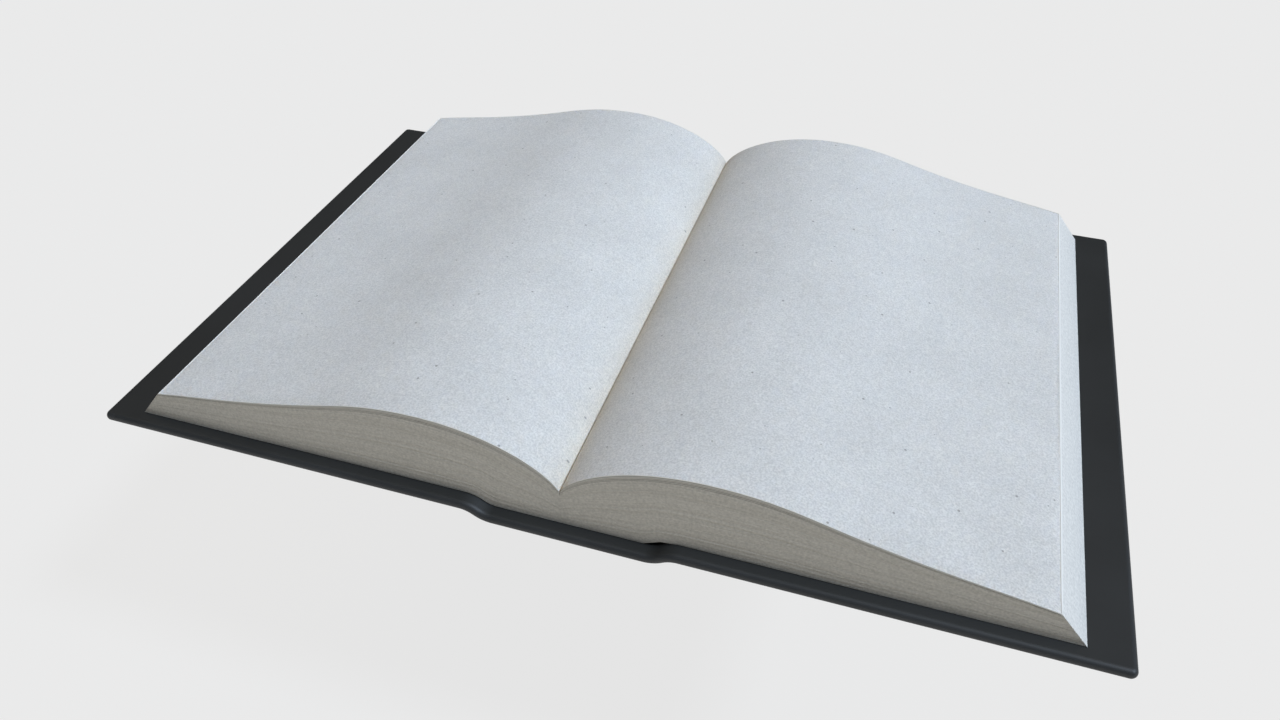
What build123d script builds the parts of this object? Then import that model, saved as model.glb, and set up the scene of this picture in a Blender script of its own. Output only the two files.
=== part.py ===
from build123d import *
import os
from math import atan, cos, degrees, radians, sin

# Blank case-bound book, lying open near its middle.
# +X runs across the spread, +Y along the spine from tail to head, +Z up. The origin is under the
# gutter, at mid height of the book, level with the underside of the spine. Millimetres.

# Pages
page_height = 210.0            # head to tail
fore_edge_base = 153.4         # gutter to the fore-edge of the lowest leaf
fore_edge_slant = 9.4          # how far the uppermost leaf stands back from the lowest
fore_edge_rise = 11.1          # how high the uppermost leaf's edge lies above the cover
gutter_rise = 9.8              # bottom of the gutter above the cover
crest_reach = 46.0             # gutter to the crest of each half
crest_rise = 29.1              # crest above the cover
knee_reach = 90.5              # where the top leaf stops falling steeply
knee_rise = 21.2
knee_slope = -0.24
gutter_pull = (0.3, 6.0)       # Bezier handles, each from its own point
crest_pull_in = 28.0
crest_pull_out = 19.0
knee_pull_in = 17.0
knee_pull_out = 25.0
fore_edge_pull = (-15.0, 3.1)

# Cover
cover_thickness = 3.5
skin = 0.4                     # leatherette
square_fore_edge = 13.4        # cover showing beyond the pages
square_head_tail = 4.9
corner_radius = 2.1            # corners in plan
edge_flat = 0.1                # what the full-round edges leave between their two fillets
board_inset = 1.2              # board's edge inside the rounded cover's edge
board_corner = 1.5

# Spine and joints
spine_left = 22.1              # gutter to each edge of the flat spine
spine_right = 27.65
spine_drop = 3.35              # spine below the boards
joint_run = 11.0               # width of the S-shaped joint between spine and board
joint_inset = 1.2              # board's edge clear of the joint's curve
hinge_gap = 0.3                # between the rigid halves of a joint
block_clearance = 0.5          # how far the pages' own step stands in from the left joint
lift_off = ((-0.11, 0.0), (0.39, 0.78), (0.69, 0.90), (0.905, 1.0))
# how the pages bridge the right joint, as shares of its run and drop

# Linings
pastedown_inset = 0.5          # endpaper's edge inside the pages' foot
lining_turn_in = 15.0          # skin turned in over the head and tail of the spine
lining_inset = 2.0             # lining's edges inside the flat spine's

# Worked out
cover_height = page_height + 2 * square_head_tail
cover_reach = fore_edge_base + square_fore_edge
fore_edge_top = fore_edge_base - fore_edge_slant
spine_top = cover_thickness
board_top = cover_thickness + spine_drop
board_thickness = cover_thickness - 2 * skin
joint_turn = 2 * atan(spine_drop / joint_run)
joint_radius = joint_run / (2 * sin(joint_turn))
left_joint = -(spine_left + joint_run)
right_joint = spine_right + joint_run
left_hinge = -(spine_left + joint_run / 2)
right_hinge = spine_right + joint_run / 2
edge_round = (cover_thickness - edge_flat) / 2


def step(start, turn_first, side):
    """Two tangent arcs across a joint, going +X; side is +1 on the inner face and -1 on the outer."""
    half = cover_thickness / 2
    first = joint_radius - turn_first * side * half
    second = joint_radius + turn_first * side * half
    a = JernArc(start, (1, 0), first, turn_first * degrees(joint_turn))
    b = JernArc(a @ 1, a % 1, second, -turn_first * degrees(joint_turn))
    return [a, b]


def face_line(side):
    """The inner or outer face of the whole cover, from the left fore-edge to the right one."""
    z = board_top if side > 0 else spine_drop
    down = step((left_joint, z), -1, side)
    up = step((spine_right, z - spine_drop), 1, side)
    return [Line((-cover_reach, z), down[0] @ 0)] + down + [Line(down[1] @ 1, up[0] @ 0)] + up + [
        Line(up[1] @ 1, (cover_reach, z))]


def extruded(edges, depth):
    """The closed outline in the XZ plane, extruded evenly to both sides of the origin."""
    with BuildPart() as part:
        with BuildSketch(Plane.XZ):
            with BuildLine():
                for edge in edges:
                    add(edge)
            make_face()
        extrude(amount=depth / 2, both=True)
    return part.part


def block(x0, x1, y_half, z0, z1):
    """A box between two planes in X and in Z, centred in Y."""
    return Pos((x0 + x1) / 2, 0, (z0 + z1) / 2) * Box(x1 - x0, 2 * y_half, z1 - z0)


def whole_cover():
    """Boards, joints and spine in one sheet of constant thickness, with full-round edges."""
    inner = face_line(1)
    outer = face_line(-1)
    ends = [Line(inner[0] @ 0, outer[0] @ 0), Line(inner[-1] @ 1, outer[-1] @ 1)]
    sheet = extruded(inner + outer + ends, cover_height)
    corners = sheet.edges().filter_by(Axis.Z)
    sheet = sheet.fillet(corner_radius, corners)
    rims = [e for e in sheet.edges() if on_rim(e)]
    return sheet.fillet(edge_round, rims)


def on_rim(edge):
    """Whether an edge runs round the cover's outline, on its inner or its outer face."""
    mid = edge @ 0.5
    on_outline = abs(mid.Y) > cover_height / 2 - corner_radius or abs(mid.X) > cover_reach - corner_radius
    return on_outline and abs((edge @ 0).Z - (edge @ 1).Z) < spine_drop


def board(x0, x1, z_low):
    """A board with rounded corners, inside the skin."""
    plate = block(x0, x1, cover_height / 2 - board_inset, z_low + skin, z_low + skin + board_thickness)
    return plate.fillet(board_corner, plate.edges().filter_by(Axis.Z))


def pages():
    """The text block: two humps that meet in the gutter, with slanted fore-edges."""
    def top(sign):
        def at(x, z):
            return (sign * x, board_top + z)
        gutter_x, gutter_z = gutter_pull
        edge_x, edge_z = fore_edge_pull
        return [
            Bezier(at(0, gutter_rise), at(gutter_x, gutter_rise + gutter_z),
                   at(crest_reach - crest_pull_in, crest_rise), at(crest_reach, crest_rise)),
            Bezier(at(crest_reach, crest_rise), at(crest_reach + crest_pull_out, crest_rise),
                   at(knee_reach - knee_pull_in, knee_rise - knee_slope * knee_pull_in),
                   at(knee_reach, knee_rise)),
            Bezier(at(knee_reach, knee_rise),
                   at(knee_reach + knee_pull_out, knee_rise + knee_slope * knee_pull_out),
                   at(fore_edge_top + edge_x, fore_edge_rise + edge_z),
                   at(fore_edge_top, fore_edge_rise)),
            Line(at(fore_edge_top, fore_edge_rise), at(fore_edge_base, 0))]
    left_step = step((left_joint + block_clearance, board_top), -1, 1)
    bridge = [(spine_right + x * joint_run, spine_top + z * spine_drop) for x, z in lift_off]
    foot = [Line((-fore_edge_base, board_top), left_step[0] @ 0)] + left_step + [
        Line(left_step[1] @ 1, bridge[0]), Polyline(*bridge),
        Line(bridge[-1], (fore_edge_base, board_top))]
    return extruded(top(-1) + top(1) + foot, page_height)


def beyond(x, sign):
    """Everything past the plane at x, on its left with sign -1 and on its right with +1."""
    far = x + sign * 2 * cover_reach
    return block(min(x, far), max(x, far), cover_height, -cover_height, cover_height)


cover = whole_cover()
foot_y = page_height / 2 - pastedown_inset
foot_x = fore_edge_base - pastedown_inset
parts = {"text_block": pages()}

# Spine: the board lies in the skin, and the lining fills the window that the turn-ins leave
spine_board = board(-spine_left + joint_inset, spine_right - joint_inset, 0)
spine_lining = block(-spine_left + lining_inset, spine_right - lining_inset,
                     cover_height / 2 - lining_turn_in, spine_top - skin, spine_top)
spine_skin = cover - beyond(left_hinge + hinge_gap / 2, -1) - beyond(right_hinge - hinge_gap / 2, 1)
parts["spine_lining"] = spine_lining
parts["spine_board"] = spine_board
parts["spine_skin"] = spine_skin - spine_board - spine_lining

# Covers: the same build on each side of the spine
sides = (("front", left_hinge, left_joint, -1), ("back", right_hinge, right_joint, 1))
for name, hinge, joint, sign in sides:
    near = joint + sign * joint_inset
    far = sign * (cover_reach - board_inset)
    plate = board(min(near, far), max(near, far), spine_drop)
    paper_near = near + sign * pastedown_inset
    paper = block(min(paper_near, sign * foot_x), max(paper_near, sign * foot_x), foot_y,
                  board_top - skin, board_top)
    parts[name + "_board"] = plate
    parts[name + "_pastedown"] = paper
    parts[name + "_skin"] = (cover & beyond(hinge + sign * hinge_gap / 2, sign)) - plate - paper

os.makedirs("parts", exist_ok=True)
for name, shape in parts.items():
    solids = shape.solids()
    solid = solids[0] if len(solids) == 1 else Compound(children=list(solids))
    solid.label = name
    export_step(solid, f"parts/{name}.step")
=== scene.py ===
import math
import random

import bmesh
import bpy
import numpy as np
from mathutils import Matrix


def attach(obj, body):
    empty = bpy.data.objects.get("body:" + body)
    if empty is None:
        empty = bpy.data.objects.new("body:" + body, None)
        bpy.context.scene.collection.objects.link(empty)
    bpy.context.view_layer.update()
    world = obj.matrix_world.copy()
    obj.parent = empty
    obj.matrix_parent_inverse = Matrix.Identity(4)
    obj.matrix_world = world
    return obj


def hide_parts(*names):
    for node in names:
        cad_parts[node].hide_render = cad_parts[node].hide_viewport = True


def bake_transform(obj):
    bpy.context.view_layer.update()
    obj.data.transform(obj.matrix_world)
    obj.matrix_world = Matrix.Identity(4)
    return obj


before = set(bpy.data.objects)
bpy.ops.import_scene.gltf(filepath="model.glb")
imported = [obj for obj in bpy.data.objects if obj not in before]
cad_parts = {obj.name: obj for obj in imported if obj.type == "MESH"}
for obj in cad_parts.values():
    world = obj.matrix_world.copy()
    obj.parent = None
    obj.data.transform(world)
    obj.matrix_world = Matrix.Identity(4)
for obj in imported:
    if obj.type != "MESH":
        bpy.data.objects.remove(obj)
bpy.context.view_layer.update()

# Blank case-bound book, lying open near its middle. Sizes are in millimetres until a mesh is made.
MM = 0.001
SEED = 21

# Cover: one sheet of constant thickness with full-round edges and an S-shaped joint each side of the spine
COVER_THICKNESS = 3.5
COVER_REACH = 166.8
COVER_HALF_HEIGHT = 109.9
COVER_CORNER = 2.1
SPINE_LEFT = -22.1
SPINE_RIGHT = 27.65
SPINE_DROP = 3.35
JOINT_RUN = 11.0
JOINT_TURN = 2 * math.atan(SPINE_DROP / JOINT_RUN)
JOINT_RADIUS = JOINT_RUN / (2 * math.sin(JOINT_TURN))
SPINE_MIDDLE = (SPINE_LEFT + SPINE_RIGHT) / 2
BOARD_TOP = COVER_THICKNESS + SPINE_DROP
GRID_STEP = 8.0                # spacing of the mesh over the flat boards
ARC_STEPS = 8                  # faces round a quarter of the edge, and along each arc of a joint

# Endpapers glued inside the covers
ENDPAPER_PROUD = 0.12
ENDPAPER_THICKNESS = 0.52
ENDPAPER_FAR = 152.9
ENDPAPER_HALF_HEIGHT = 104.5
ENDPAPER_NEAR = {"front": 34.8, "back": 40.35}
ENDPAPER_CORNER = 0.6

# Pages
PAGE_HALF_HEIGHT = 105.0
FORE_EDGE_FOOT = 153.4
TOP_CURVES = (
    ((0, 9.8), (0.3, 15.8), (18, 29.1), (46, 29.1)),
    ((46, 29.1), (65, 29.1), (73.5, 25.28), (90.5, 21.2)),
    ((90.5, 21.2), (115.5, 15.2), (129, 14.2), (144, 11.1)),
)
LIFT_OFF = ((-0.11, 0.0), (0.39, 0.78), (0.69, 0.90), (0.905, 1.0))
LEFT_CLEARANCE = 0.5
FOOT_CLEARANCE = 0.15          # pages clear of the endpaper under them
LEAF_GROUPS = 52               # bundles of leaves that can be told apart on the cut edges
TOP_LEAVES = 4                 # uppermost leaves, which stand a little apart
GROOVE_DEPTH = 0.10
# strengths of the grooves between leaves, for their depth in the mesh and for their painted shade
GROOVE_TONES = (0.0, 0.1, 0.2, 0.35, 0.5)
LEAF_SHIFT = 0.06              # how unevenly the leaves were knocked up
LEAF_EDGE_RADIUS = 0.4
FORE_EDGE_RADIUS = 0.6
GUTTER_FILL = 0.9              # glue line and shut leaves that fill the bottom of the gutter
GUTTER_FILL_REACH = 0.5
GUTTER_SHADE_REACH = 3.5          # how far the painted shade (warmer, darker paper) spreads from the gutter
LEAF_LINE_STRETCH = 2.0        # how long the lines on the cut edges run for their fineness
CROWN_LEAVES = 3               # uppermost leaves, whose cut edges are lightened with a painted highlight
COLUMNS = 190
ROWS_ALONG_SPINE = 32
PAGE_WAVE = 0.10               # how far the open leaf sinks in soft waves near the fore-edge
PAGE_WAVE_TURNS = (5.0, 2.3)   # radians across half the spread, and along half the spine
EDGE_RIPPLES = 9.0             # radians of a cut leaf's waver across half the spread
EDGE_RIPPLE_SHARE = 0.4
END_ROUNDING = 0.6             # share of the rounding that shows on the head and tail
SIDE_ROUNDING = 0.5            # and on the fore-edge
BRINK_DROP = 0.3               # how far the leaf's very edge sinks, as a share of its rounding
FORE_EDGE_GROOVES = 0.3        # how strong the grooves' painted shade is on the fore-edge beside the ends
CURVE_SAMPLES = 120
SHARP_COVER = 40               # degrees, above which a crease is left sharp
SHARP_PAGES = 50

# Finishes
SMALLEST_SPECK = 0.15          # share of the largest speck's radius
RUB_REACH = 1.2                # how far in from the cover's edge it is rubbed
RUB_STRENGTH = 1.3

# Studio
FLOOR_GLOW = 0.78
FLOOR_SPAN = 6.0
FLOOR_DROP = 150.0             # the covers swing down through 139 mm, so the floor lies below that
WORLD_LIGHT = 0.04
WORLD_SEEN = "#ebebeb"
CAMERA_PLACE = (0.08403, -0.28880, 0.24094)
CAMERA_TURN = (49.584, 0.0, 17.663)
CAMERA_LENS = 27.776
KEY = {"tilt": 38, "toward": -3, "strength": 3.05, "colour": "#d9eaff", "softness": 10}
FILL = {"tilt": -8, "toward": 10, "strength": 0.66, "colour": "#fff1e2", "softness": 60}


def linear(hex_colour):
    """An sRGB hex colour as the linear RGBA that a shader socket takes."""
    channels = [int(hex_colour[i:i + 2], 16) / 255 for i in (1, 3, 5)]
    return [c / 12.92 if c <= 0.04045 else ((c + 0.055) / 1.055) ** 2.4 for c in channels] + [1.0]


def per(size_mm):
    """The texture scale whose pattern repeats about every size_mm."""
    return 1 / (size_mm * MM)


def add(tree, kind, values=None, links=None, **settings):
    """Adds a shader node, with its settings, its sockets' values and its incoming links."""
    node = tree.nodes.new("ShaderNode" + kind)
    for key, value in settings.items():
        setattr(node, key, value)
    for key, value in (values or {}).items():
        node.inputs[key].default_value = value
    for key, source in (links or {}).items():
        tree.links.new(source, node.inputs[key])
    return node


def material(name):
    """An empty node material: the tree, its Principled shader and its object coordinates."""
    made = bpy.data.materials.new(name)
    made.use_nodes = True
    tree = made.node_tree
    tree.nodes.clear()
    shader = add(tree, "BsdfPrincipled")
    add(tree, "OutputMaterial", links={"Surface": shader.outputs["BSDF"]})
    place = add(tree, "TexCoord").outputs["Object"]
    return made, tree, shader, place


def mottled(tree, place, size_mm, detail, dark, light, low=0.3, high=0.7):
    """A colour that wanders between two shades in patches of size_mm. Returns colour and pattern."""
    noise = add(tree, "TexNoise", {"Scale": per(size_mm), "Detail": detail, "Roughness": 0.55},
                {"Vector": place})
    ramp = add(tree, "ValToRGB", links={"Fac": noise.outputs["Fac"]})
    ramp.color_ramp.elements[0].position = low
    ramp.color_ramp.elements[0].color = linear(dark)
    ramp.color_ramp.elements[1].position = high
    ramp.color_ramp.elements[1].color = linear(light)
    return ramp.outputs["Color"], noise.outputs["Fac"]


def mixed(tree, blend, factor, a, b):
    """Mixes two colours. Each of factor, a and b is a value or an output."""
    node = add(tree, "Mix", data_type="RGBA", blend_type=blend)
    for key, source in ((0, factor), (6, a), (7, b)):
        if isinstance(source, bpy.types.NodeSocket):
            tree.links.new(source, node.inputs[key])
        else:
            node.inputs[key].default_value = source
    return node.outputs[2]


def bumped(tree, height, distance_mm, strength, after=None):
    """A normal that follows height, in steps of distance_mm."""
    node = add(tree, "Bump", {"Distance": distance_mm * MM, "Strength": strength}, {"Height": height})
    if after is not None:
        tree.links.new(after, node.inputs["Normal"])
    return node.outputs["Normal"]


def specks(tree, place, spacing_mm, radius_mm):
    """1 on sparse round specks of bark in the pulp, 0 elsewhere; their sizes differ."""
    cell = add(tree, "TexVoronoi", {"Scale": per(spacing_mm)}, {"Vector": place},
               voronoi_dimensions="2D")
    split = add(tree, "SeparateColor", links={"Color": cell.outputs["Color"]})
    largest = radius_mm / spacing_mm
    reach = add(tree, "MapRange", {"To Min": SMALLEST_SPECK * largest, "To Max": largest},
                {"Value": split.outputs[0]})
    inside = add(tree, "Math", links={0: cell.outputs["Distance"], 1: reach.outputs[0]},
                 operation="LESS_THAN")
    return inside.outputs[0]


def uncoated_paper(name, shade="#edebe6", dark="#e6e4df", dirt="#aaa7a1"):
    """Uncoated book paper: dry and matt, faintly cloudy, with fine fibres and a few specks of bark;
    painted shade makes it warmer and darker near the gutter.
    """
    made, tree, shader, place = material(name)
    cloud, _ = mottled(tree, place, 26.0, 2.0, dark, shade)
    fibre, fibre_height = mottled(tree, place, 0.6, 3.0, "#e3e3e3", "#ffffff", 0.34, 0.66)
    felt, felt_height = mottled(tree, place, 2.6, 2.0, "#f8f8f8", "#ffffff")
    colour = mixed(tree, "MULTIPLY", 1.0, cloud, fibre)
    colour = mixed(tree, "MULTIPLY", 1.0, colour, felt)
    # painted shade: the paper turns warmer and darker towards the gutter
    gutter_shade = add(tree, "Attribute", attribute_name="gutter_shade").outputs["Fac"]
    colour = mixed(tree, "MULTIPLY", gutter_shade, colour, linear("#faf4ea"))
    colour = mixed(tree, "MIX", specks(tree, place, 16.5, 0.45), colour, linear(dirt))
    tree.links.new(colour, shader.inputs["Base Color"])
    shader.inputs["Roughness"].default_value = 0.93
    shader.inputs["IOR"].default_value = 1.45
    shader.inputs["Specular IOR Level"].default_value = 0.2
    shader.inputs["Subsurface Weight"].default_value = 0.35
    shader.inputs["Subsurface Radius"].default_value = (1.0, 0.8, 0.6)
    shader.inputs["Subsurface Scale"].default_value = 3 * MM
    normal = bumped(tree, fibre_height, 0.05, 0.35)
    normal = bumped(tree, felt_height, 0.10, 0.25, normal)
    tree.links.new(normal, shader.inputs["Normal"])
    return made


def cut_page_edges(name, dark, light, groove_shade):
    """Guillotined leaf edges: warm grey, in fine uneven lines; painted shade darkens them where leaves
    stand apart, and a painted highlight lightens the uppermost leaves.
    """
    made, tree, shader, place = material(name)
    leaf = add(tree, "Attribute", attribute_name="leaf").outputs["Fac"]
    run = add(tree, "Attribute", attribute_name="run").outputs["Fac"]
    groove = add(tree, "Attribute", attribute_name="groove").outputs["Fac"]
    along = add(tree, "CombineXYZ", links={"X": run, "Y": leaf}).outputs[0]
    stripe = add(tree, "TexNoise", {"Scale": 2.6, "Detail": 2.0, "Roughness": 0.7}, {"Vector": along})
    ramp = add(tree, "ValToRGB", links={"Fac": stripe.outputs["Fac"]})
    ramp.color_ramp.elements[0].position = 0.3
    ramp.color_ramp.elements[0].color = linear(dark)
    ramp.color_ramp.elements[1].position = 0.68
    ramp.color_ramp.elements[1].color = linear(light)
    fibre, fibre_height = mottled(tree, place, 0.8, 2.0, "#e6e6e6", "#ffffff")
    colour = mixed(tree, "MULTIPLY", 1.0, ramp.outputs["Color"], fibre)
    # painted highlight: the uppermost leaves' cut edges are made lighter
    crown_highlight = add(tree, "Attribute", attribute_name="crown_highlight").outputs["Fac"]
    colour = mixed(tree, "MIX", crown_highlight, colour, linear(light))
    # painted shade in the grooves between leaves
    colour = mixed(tree, "MIX", groove, colour, linear(groove_shade))
    tree.links.new(colour, shader.inputs["Base Color"])
    shader.inputs["Roughness"].default_value = 0.95
    shader.inputs["IOR"].default_value = 1.45
    shader.inputs["Specular IOR Level"].default_value = 0.15
    tree.links.new(bumped(tree, fibre_height, 0.05, 0.3), shader.inputs["Normal"])
    return made


def black_leatherette(name):
    """Coated cover material: matt black, an even fine grain, edges rubbed a trace lighter."""
    made, tree, shader, place = material(name)
    tone, tone_height = mottled(tree, place, 34.0, 3.0, "#1f201f", "#232423")
    # real grain is near 0.2 mm; drawn at 0.5 mm, the finest that shows
    grain = add(tree, "TexVoronoi", {"Scale": per(0.5)}, {"Vector": place}, feature="SMOOTH_F1")
    rub = add(tree, "Attribute", attribute_name="rub").outputs["Fac"]
    patchy = add(tree, "Math", links={0: rub, 1: tone_height}, operation="MULTIPLY")
    colour = mixed(tree, "MIX", patchy.outputs[0], tone, linear("#3a3b3c"))
    tree.links.new(colour, shader.inputs["Base Color"])
    gloss = add(tree, "MapRange", {"To Min": 0.52, "To Max": 0.62}, {"Value": tone_height})
    tree.links.new(gloss.outputs[0], shader.inputs["Roughness"])
    shader.inputs["IOR"].default_value = 1.5
    shader.inputs["Specular IOR Level"].default_value = 0.5
    tree.links.new(bumped(tree, grain.outputs["Distance"], 0.04, 0.25), shader.inputs["Normal"])
    return made


def grey_board(name):
    """Greyboard: recycled pulp, matt and mealy, hidden inside the covers."""
    made, tree, shader, place = material(name)
    colour, height = mottled(tree, place, 1.5, 4.0, "#77746e", "#8f8c85")
    tree.links.new(colour, shader.inputs["Base Color"])
    shader.inputs["Roughness"].default_value = 0.92
    tree.links.new(bumped(tree, height, 0.1, 0.4), shader.inputs["Normal"])
    return made


def crash_cloth(name):
    """Open cotton mull glued along the spine: pale threads, 1.2 mm apart both ways."""
    made, tree, shader, place = material(name)
    warp = add(tree, "TexWave", {"Scale": per(1.2) / math.tau}, {"Vector": place}, bands_direction="X")
    weft = add(tree, "TexWave", {"Scale": per(1.2) / math.tau}, {"Vector": place}, bands_direction="Y")
    weave = add(tree, "Math", links={0: warp.outputs["Fac"], 1: weft.outputs["Fac"]}, operation="MAXIMUM")
    ramp = add(tree, "ValToRGB", links={"Fac": weave.outputs[0]})
    ramp.color_ramp.elements[0].color = linear("#a89f8c")
    ramp.color_ramp.elements[1].color = linear("#e2dccd")
    tree.links.new(ramp.outputs["Color"], shader.inputs["Base Color"])
    shader.inputs["Roughness"].default_value = 0.9
    tree.links.new(bumped(tree, weave.outputs[0], 0.15, 0.5), shader.inputs["Normal"])
    return made


def studio_floor(name):
    """Pale seamless paper: even and matt, glowing a little so that shadows stay faint."""
    made, tree, shader, place = material(name)
    colour, _ = mottled(tree, place, 400.0, 1.0, "#413f3c", "#42403d")
    tree.links.new(colour, shader.inputs["Base Color"])
    shader.inputs["Roughness"].default_value = 1.0
    shader.inputs["Specular IOR Level"].default_value = 0.0
    shader.inputs["Emission Color"].default_value = linear("#ffffff")
    shader.inputs["Emission Strength"].default_value = FLOOR_GLOW
    return made


def mesh_object(name, points, faces, materials, face_materials=None):
    """A mesh object from points in millimetres, linked to the scene."""
    mesh = bpy.data.meshes.new(name)
    mesh.from_pydata((np.asarray(points) * MM).tolist(), [], faces)
    for finish in materials:
        mesh.materials.append(finish)
    if face_materials is not None:
        mesh.polygons.foreach_set("material_index", face_materials)
    made = bpy.data.objects.new(name, mesh)
    bpy.context.scene.collection.objects.link(made)
    return made


def close_mesh(piece, sharp_angle):
    """Merges shared borders, turns normals outward, and shades smooth but for sharp creases."""
    edit = bmesh.new()
    edit.from_mesh(piece.data)
    bmesh.ops.remove_doubles(edit, verts=edit.verts, dist=1e-7)
    bmesh.ops.recalc_face_normals(edit, faces=edit.faces)
    edit.to_mesh(piece.data)
    edit.free()
    piece.data.polygons.foreach_set("use_smooth", [True] * len(piece.data.polygons))
    piece.data.set_sharp_from_angle(angle=math.radians(sharp_angle))


def joint_line(start_x, start_z, turn_first):
    """Stations along a joint's centre line, going +X: x, z and the upward normal's x and z."""
    stations = []
    angle = 0.0
    x, z = start_x, start_z
    for turn in (turn_first, -turn_first):
        for _ in range(ARC_STEPS):
            step = turn * JOINT_TURN / ARC_STEPS
            chord = 2 * JOINT_RADIUS * math.sin(abs(step) / 2)
            x += chord * math.cos(angle + step / 2)
            z += chord * math.sin(angle + step / 2)
            angle += step
            stations.append((x, z, -math.sin(angle), math.cos(angle)))
    return stations


def rim_steps(radius, corner, length, near_round):
    """Distances from the first edge: close together round the edge, then an even grid."""
    round_part = [radius * (1 - math.cos(math.pi / 2 * k / ARC_STEPS)) for k in range(ARC_STEPS)]
    rim = round_part + [radius, corner]
    end = length - corner if near_round else length
    inner = np.linspace(corner, end, max(2, round(length / GRID_STEP)))[1:].tolist()
    return rim + inner + ([length - d for d in reversed(rim[:-1])] if near_round else [])


def rounded_sheet(name, stations, half_height, half_thickness, corner, near_round, finish):
    """A sheet of constant thickness along stations, with full-round edges and rounded corners.
    The last station is a round edge too if near_round, and a flat cut if not."""
    stations = np.array(stations)
    travel = np.concatenate([[0], np.cumsum(np.hypot(*np.diff(stations[:, :2], axis=0).T))])
    length = travel[-1]
    rows = np.array(rim_steps(half_thickness, corner, 2 * half_height, True))
    from_far, from_tail = np.meshgrid(travel, rows, indexing="ij")
    to_side = np.minimum(from_tail, 2 * half_height - from_tail)
    to_end = np.minimum(from_far, length - from_far) if near_round else from_far
    a = np.clip(1 - to_end / corner, 0, 1)
    b = np.clip(1 - to_side / corner, 0, 1)
    reach = np.maximum(a, b)
    turn = np.where(a >= b, b / np.maximum(a, 1e-9), 2 - a / np.maximum(b, 1e-9)) * math.pi / 4
    in_corner = (a > 0) & (b > 0)
    along = np.where(in_corner, corner * (1 - reach * np.cos(turn)), to_end)
    aside = np.where(in_corner, corner * (1 - reach * np.sin(turn)), to_side)
    to_outline = np.where(in_corner, corner * (1 - reach), np.minimum(to_end, to_side))
    far_half = (from_far <= length / 2) | (not near_round)
    along = np.where(far_half, along, length - along)
    across = np.where(from_tail <= half_height, aside - half_height, half_height - aside)
    x, z, nx, nz = (np.interp(along, travel, stations[:, k]) for k in range(4))
    depth = np.clip(to_outline / half_thickness, 0, 1)
    lift = half_thickness * np.sqrt(np.clip(1 - (1 - depth) ** 2, 0, 1))
    sides = [np.stack([x + side * nx * lift, across, z + side * nz * lift], -1) for side in (1, -1)]
    count_u, count_v = from_far.shape
    points = np.concatenate([s.reshape(-1, 3) for s in sides])
    faces = []
    for side in range(2):
        base = side * count_u * count_v
        for i in range(count_u - 1):
            for j in range(count_v - 1):
                corner_at = base + i * count_v + j
                faces.append((corner_at, corner_at + count_v, corner_at + count_v + 1, corner_at + 1))
    if not near_round:
        last = (count_u - 1) * count_v
        faces += [(last + j, last + j + 1, last + j + 1 + count_u * count_v, last + j + count_u * count_v)
                  for j in range(count_v - 1)]
    piece = mesh_object(name, points, faces, [finish])
    rub = np.clip(RUB_STRENGTH - to_outline / RUB_REACH, 0, 1).reshape(-1)
    rub_at = piece.data.attributes.new("rub", "FLOAT", "POINT")
    rub_at.data.foreach_set("value", np.concatenate([rub, rub]).astype(np.float32))
    close_mesh(piece, SHARP_COVER)
    return piece


def cover_half(name, side, finish):
    """Half of the case, from its fore-edge to the middle of the spine."""
    high = BOARD_TOP - COVER_THICKNESS / 2
    low = COVER_THICKNESS / 2
    edge = COVER_THICKNESS / 2
    if side < 0:
        joint = joint_line(SPINE_LEFT - JOINT_RUN, high, -1)
        board_end = SPINE_LEFT - JOINT_RUN
        spine_end = SPINE_LEFT
    else:
        joint = joint_line(SPINE_RIGHT, low, 1)
        joint = [(SPINE_RIGHT, low, 0, 1)] + joint[:-1]
        joint.reverse()
        board_end = SPINE_RIGHT + JOINT_RUN
        spine_end = SPINE_RIGHT
    board = [(side * (COVER_REACH - d), high, 0, 1)
             for d in rim_steps(edge, COVER_CORNER, COVER_REACH - abs(board_end), False)]
    spine = [(x, low, 0, 1) for x in np.linspace(spine_end, SPINE_MIDDLE, 5)[1:]]
    return rounded_sheet(name, board + joint + spine, COVER_HALF_HEIGHT, edge, COVER_CORNER, False, finish)


def endpaper(name, near, side, finish):
    """The paper glued inside a cover, standing a trace proud of it."""
    middle = BOARD_TOP + ENDPAPER_PROUD - ENDPAPER_THICKNESS / 2
    steps = rim_steps(ENDPAPER_THICKNESS / 2, ENDPAPER_CORNER, ENDPAPER_FAR - near, True)
    stations = [(side * (ENDPAPER_FAR - d), middle, 0, 1) for d in steps]
    return rounded_sheet(name, stations, ENDPAPER_HALF_HEIGHT, ENDPAPER_THICKNESS / 2,
                         ENDPAPER_CORNER, True, finish)


def bezier(curve, t):
    """Points of a cubic Bezier at the parameters t."""
    p0, p1, p2, p3 = (np.array(p, float) for p in curve)
    t = t[:, None]
    return (1 - t) ** 3 * p0 + 3 * (1 - t) ** 2 * t * p1 + 3 * (1 - t) * t ** 2 * p2 + t ** 3 * p3


def top_half(shares):
    """x and z of the open page at shares of its length from the gutter."""
    t = np.linspace(0, 1, CURVE_SAMPLES)
    curves = [bezier(curve, t)[min(k, 1):] for k, curve in enumerate(TOP_CURVES)]
    line = np.concatenate(curves)
    travel = np.concatenate([[0], np.cumsum(np.hypot(*np.diff(line, axis=0).T))])
    at = shares * travel[-1]
    return np.interp(at, travel, line[:, 0]), np.interp(at, travel, line[:, 1])


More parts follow.
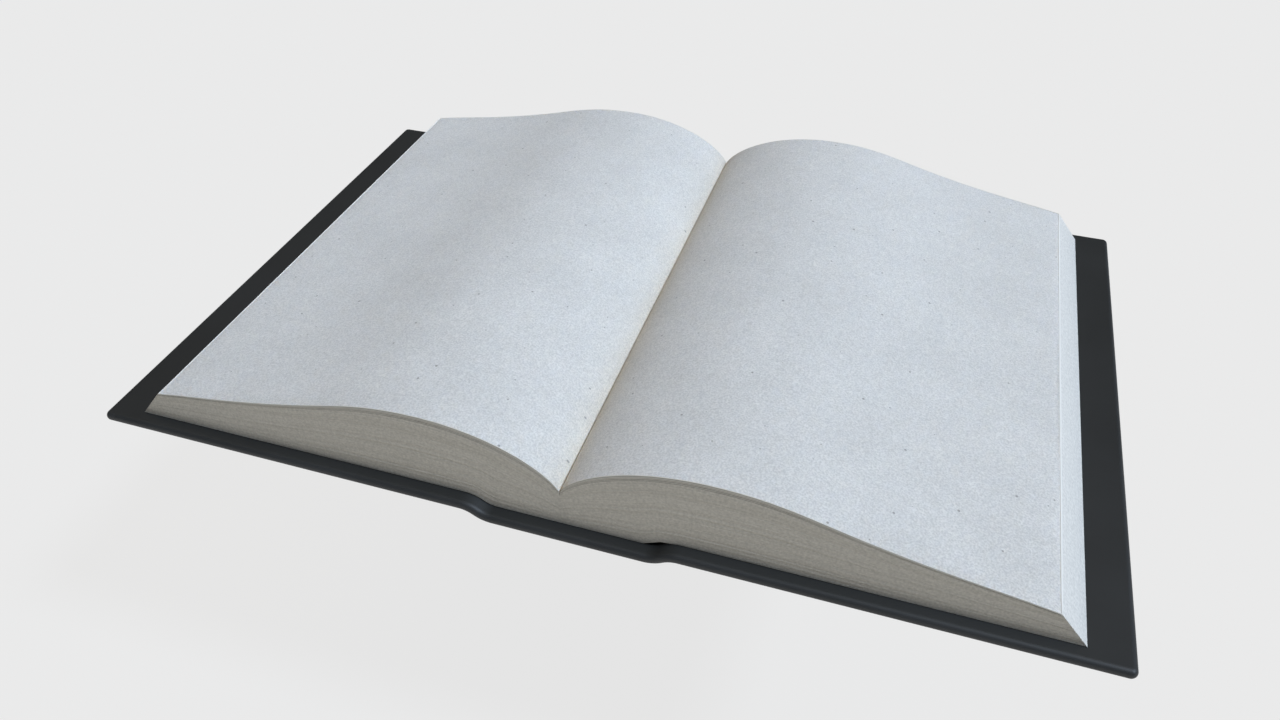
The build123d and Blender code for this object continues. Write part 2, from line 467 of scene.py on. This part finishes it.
def foot_line():
    """x and z along the underside of the pages, from the left fore-edge to the right one."""
    half = COVER_THICKNESS / 2
    left = [(x + nx * half + LEFT_CLEARANCE, z + nz * half)
            for x, z, nx, nz in joint_line(SPINE_LEFT - JOINT_RUN, BOARD_TOP - half, -1)]
    bridge = [(SPINE_RIGHT + x * JOINT_RUN, COVER_THICKNESS + z * SPINE_DROP) for x, z in LIFT_OFF]
    start = [(-FORE_EDGE_FOOT, BOARD_TOP), (SPINE_LEFT - JOINT_RUN + LEFT_CLEARANCE, BOARD_TOP)]
    return np.array(start + left + bridge + [(FORE_EDGE_FOOT, BOARD_TOP)])


def leaf_rows(draw):
    """Heights from foot to top, 0 to 1, and each row's leaf and groove strength."""
    heights, leaves, grooves = [], [], []
    for leaf in range(LEAF_GROUPS):
        near_top = leaf >= LEAF_GROUPS - TOP_LEAVES
        strength = 1.0 if near_top else draw.choice(GROOVE_TONES)
        width = 0.42 if near_top else 0.22
        for share, groove in ((0.0, strength), (width, 0.0), (0.8, 0.0)):
            heights.append((leaf + share) / LEAF_GROUPS)
            leaves.append(leaf)
            grooves.append(groove)
    return np.array(heights + [1.0]), np.array(leaves + [LEAF_GROUPS - 1]), np.array(grooves + [0.0])


def page_block(name, paper, ends, fore_edges):
    """All the pages: a smooth open spread on top, and single leaves showing on the cut sides."""
    draw = random.Random(SEED)
    foot = foot_line()
    even = np.linspace(-1, 1, COLUMNS + 1)
    kinks = foot[1:-1, 0] / FORE_EDGE_FOOT
    across = np.unique(np.round(np.concatenate([even, kinks]), 5))
    heights, leaves, grooves = leaf_rows(draw)
    along = np.linspace(-1, 1, ROWS_ALONG_SPINE + 1)
    shift = np.array([draw.uniform(0, LEAF_SHIFT) for _ in range(LEAF_GROUPS)])
    wave = np.array([draw.uniform(0, math.tau) for _ in range(LEAF_GROUPS)])
    top_x, top_z = top_half(np.abs(across))
    top_x = top_x * np.sign(across)
    top_z = top_z + BOARD_TOP + GUTTER_FILL * np.exp(-np.abs(top_x) / GUTTER_FILL_REACH)
    foot_x = across * FORE_EDGE_FOOT
    foot_z = np.interp(foot_x, foot[:, 0], foot[:, 1]) + FOOT_CLEARANCE
    cut_depth = shift[leaves] + grooves * GROOVE_DEPTH

    index = {}
    points, runs, leaf_values, groove_shade_values, gutter_shade_values, crown_highlight_values = [], [], [], [], [], []

    def vertex(i, j, k):
        """The point at column i, place j along the spine and height k, made once."""
        if (i, j, k) in index:
            return index[i, j, k]
        v = heights[k]
        x = foot_x[i] * (1 - v) + top_x[i] * v
        z = foot_z[i] * (1 - v) + top_z[i] * v
        y = along[j] * PAGE_HALF_HEIGHT
        ripple = 0.5 + 0.5 * math.sin(EDGE_RIPPLES * across[i] + wave[leaves[k]])
        inset = cut_depth[k] * (1 - EDGE_RIPPLE_SHARE + EDGE_RIPPLE_SHARE * ripple)
        below = (1 - v) * (top_z[i] - foot_z[i])
        at_end = j in (0, ROWS_ALONG_SPINE)
        at_side = i in (0, len(across) - 1)
        radius = FORE_EDGE_RADIUS if at_side and not at_end else LEAF_EDGE_RADIUS
        rounding = radius - math.sqrt(max(0, radius ** 2 - max(0, radius - below) ** 2))
        if at_end:
            y -= math.copysign(inset + END_ROUNDING * rounding, y)
        if at_side:
            x -= math.copysign(SIDE_ROUNDING * (inset + rounding), x)
        if k == len(heights) - 1:
            turn = PAGE_WAVE_TURNS[1] * along[j] + PAGE_WAVE_TURNS[0] * across[i]
            z -= PAGE_WAVE * (0.5 + 0.5 * math.sin(turn)) * across[i] ** 2
            if at_end or at_side:
                z -= BRINK_DROP * LEAF_EDGE_RADIUS
        index[i, j, k] = len(points)
        points.append((x, y, z))
        runs.append((across[i] if at_end else along[j]) * LEAF_LINE_STRETCH)
        leaf_values.append(v * LEAF_GROUPS)
        # strength of the grooves' painted shade, weaker on the fore-edge
        groove_shade_values.append(grooves[k] * (1.0 if at_end else FORE_EDGE_GROOVES))
        # strength of the painted shade, fading away from the gutter
        gutter_shade_values.append(math.exp(-abs(x) / GUTTER_SHADE_REACH))
        # strength of the painted highlight, rising over the uppermost leaves
        crown_highlight_values.append(max(0.0, min(1.0, v * LEAF_GROUPS - LEAF_GROUPS + CROWN_LEAVES)))
        return index[i, j, k]

    faces, finishes = [], []

    def patch(first, second, at, finish):
        """A grid of faces over two of the three directions."""
        for a in range(first):
            for b in range(second):
                faces.append([vertex(*at(a, b)), vertex(*at(a + 1, b)),
                              vertex(*at(a + 1, b + 1)), vertex(*at(a, b + 1))])
                finishes.append(finish)

    last_i, last_j, last_k = len(across) - 1, ROWS_ALONG_SPINE, len(heights) - 1
    patch(last_i, last_j, lambda a, b: (a, b, last_k), 0)
    patch(last_i, last_j, lambda a, b: (a, b, 0), 1)
    for end in (0, last_j):
        patch(last_i, last_k, lambda a, b: (a, end, b), 1)
    for end in (0, last_i):
        patch(last_j, last_k, lambda a, b: (end, a, b), 2)
    piece = mesh_object(name, points, faces, [paper, ends, fore_edges], finishes)
    for attribute, values in (("run", runs), ("leaf", leaf_values), ("groove", groove_shade_values),
                              ("gutter_shade", gutter_shade_values), ("crown_highlight", crown_highlight_values)):
        layer = piece.data.attributes.new(attribute, "FLOAT", "POINT")
        layer.data.foreach_set("value", np.array(values, np.float32))
    close_mesh(piece, SHARP_PAGES)
    return piece


def sun(name, tilt, toward, strength, colour, softness):
    """A broad soft light: tilted towards +X, then away from the reader."""
    lamp = bpy.data.lights.new(name, "SUN")
    lamp.energy = strength
    lamp.color = linear(colour)[:3]
    lamp.angle = math.radians(softness)
    holder = bpy.data.objects.new(name, lamp)
    holder.rotation_euler = (math.radians(-toward), math.radians(tilt), 0)
    bpy.context.scene.collection.objects.link(holder)


def studio():
    """Floor, lights, background and camera."""
    half = FLOOR_SPAN / 2
    ticks = np.linspace(-half, half, 9) / MM
    points = [(x, y, -FLOOR_DROP) for x in ticks for y in ticks]
    faces = [(9 * i + j, 9 * i + 9 + j, 9 * i + 10 + j, 9 * i + 1 + j) for i in range(8) for j in range(8)]
    floor = mesh_object("studio_floor", points, faces, [studio_floor("seamless_paper")])
    sun("key_light", **KEY)
    sun("fill_light", **FILL)
    world = bpy.data.worlds.new("studio")
    world.use_nodes = True
    tree = world.node_tree
    tree.nodes.clear()
    seen = add(tree, "Background", {"Color": linear(WORLD_SEEN), "Strength": 1.0})
    light = add(tree, "Background", {"Color": linear("#ffffff"), "Strength": WORLD_LIGHT})
    path = add(tree, "LightPath")
    choice = add(tree, "MixShader", links={0: path.outputs["Is Camera Ray"], 1: light.outputs[0],
                                           2: seen.outputs[0]})
    add(tree, "OutputWorld", links={"Surface": choice.outputs[0]})
    scene = bpy.context.scene
    scene.world = world
    scene.view_settings.view_transform = "Standard"
    camera = bpy.data.cameras.new("reader")
    camera.lens = CAMERA_LENS
    camera.clip_start = 0.01
    holder = bpy.data.objects.new("reader", camera)
    holder.location = CAMERA_PLACE
    holder.rotation_euler = [math.radians(a) for a in CAMERA_TURN]
    scene.collection.objects.link(holder)
    scene.camera = holder


leatherette = black_leatherette("black_leatherette")
book_paper = uncoated_paper("uncoated_book_paper")
# the same cut paper in two copies: the head and tail copy is darker and warmer than the fore-edge copy,
# which is painted shade
shaded_leaf_ends = cut_page_edges("cut_head_and_tail_shaded", "#d2cdc1", "#dcd8cd", "#8c877c")
fore_edge_cut = cut_page_edges("cut_fore_edge", "#e4e1da", "#eeece6", "#cfccc5")
endpaper_paper = uncoated_paper("endpaper", "#e2dfd6", "#dbd8cf", "#a19c92")
board_pulp = grey_board("greyboard")
mull = crash_cloth("crash_cloth")

pages = page_block("pages", book_paper, shaded_leaf_ends, fore_edge_cut)
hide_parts("text_block")
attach(pages, "block")

for side_name, side_sign, hinge in (("front", -1, SPINE_LEFT - JOINT_RUN / 2),
                                    ("back", 1, SPINE_RIGHT + JOINT_RUN / 2)):
    half_case = cover_half(side_name + "_case", side_sign, leatherette)
    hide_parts(side_name + "_skin", *(["spine_skin"] if side_name == "front" else []))
    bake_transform(half_case)
    lining = endpaper(side_name + "_endpaper", ENDPAPER_NEAR[side_name], side_sign, endpaper_paper)
    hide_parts(side_name + "_pastedown")
    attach(lining, side_name + "_cover")

for node_name, finish in (("front_board", board_pulp), ("back_board", board_pulp),
                          ("spine_board", board_pulp), ("spine_lining", mull)):
    hidden_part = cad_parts[node_name].data
    hidden_part.materials.clear()
    hidden_part.materials.append(finish)

studio()
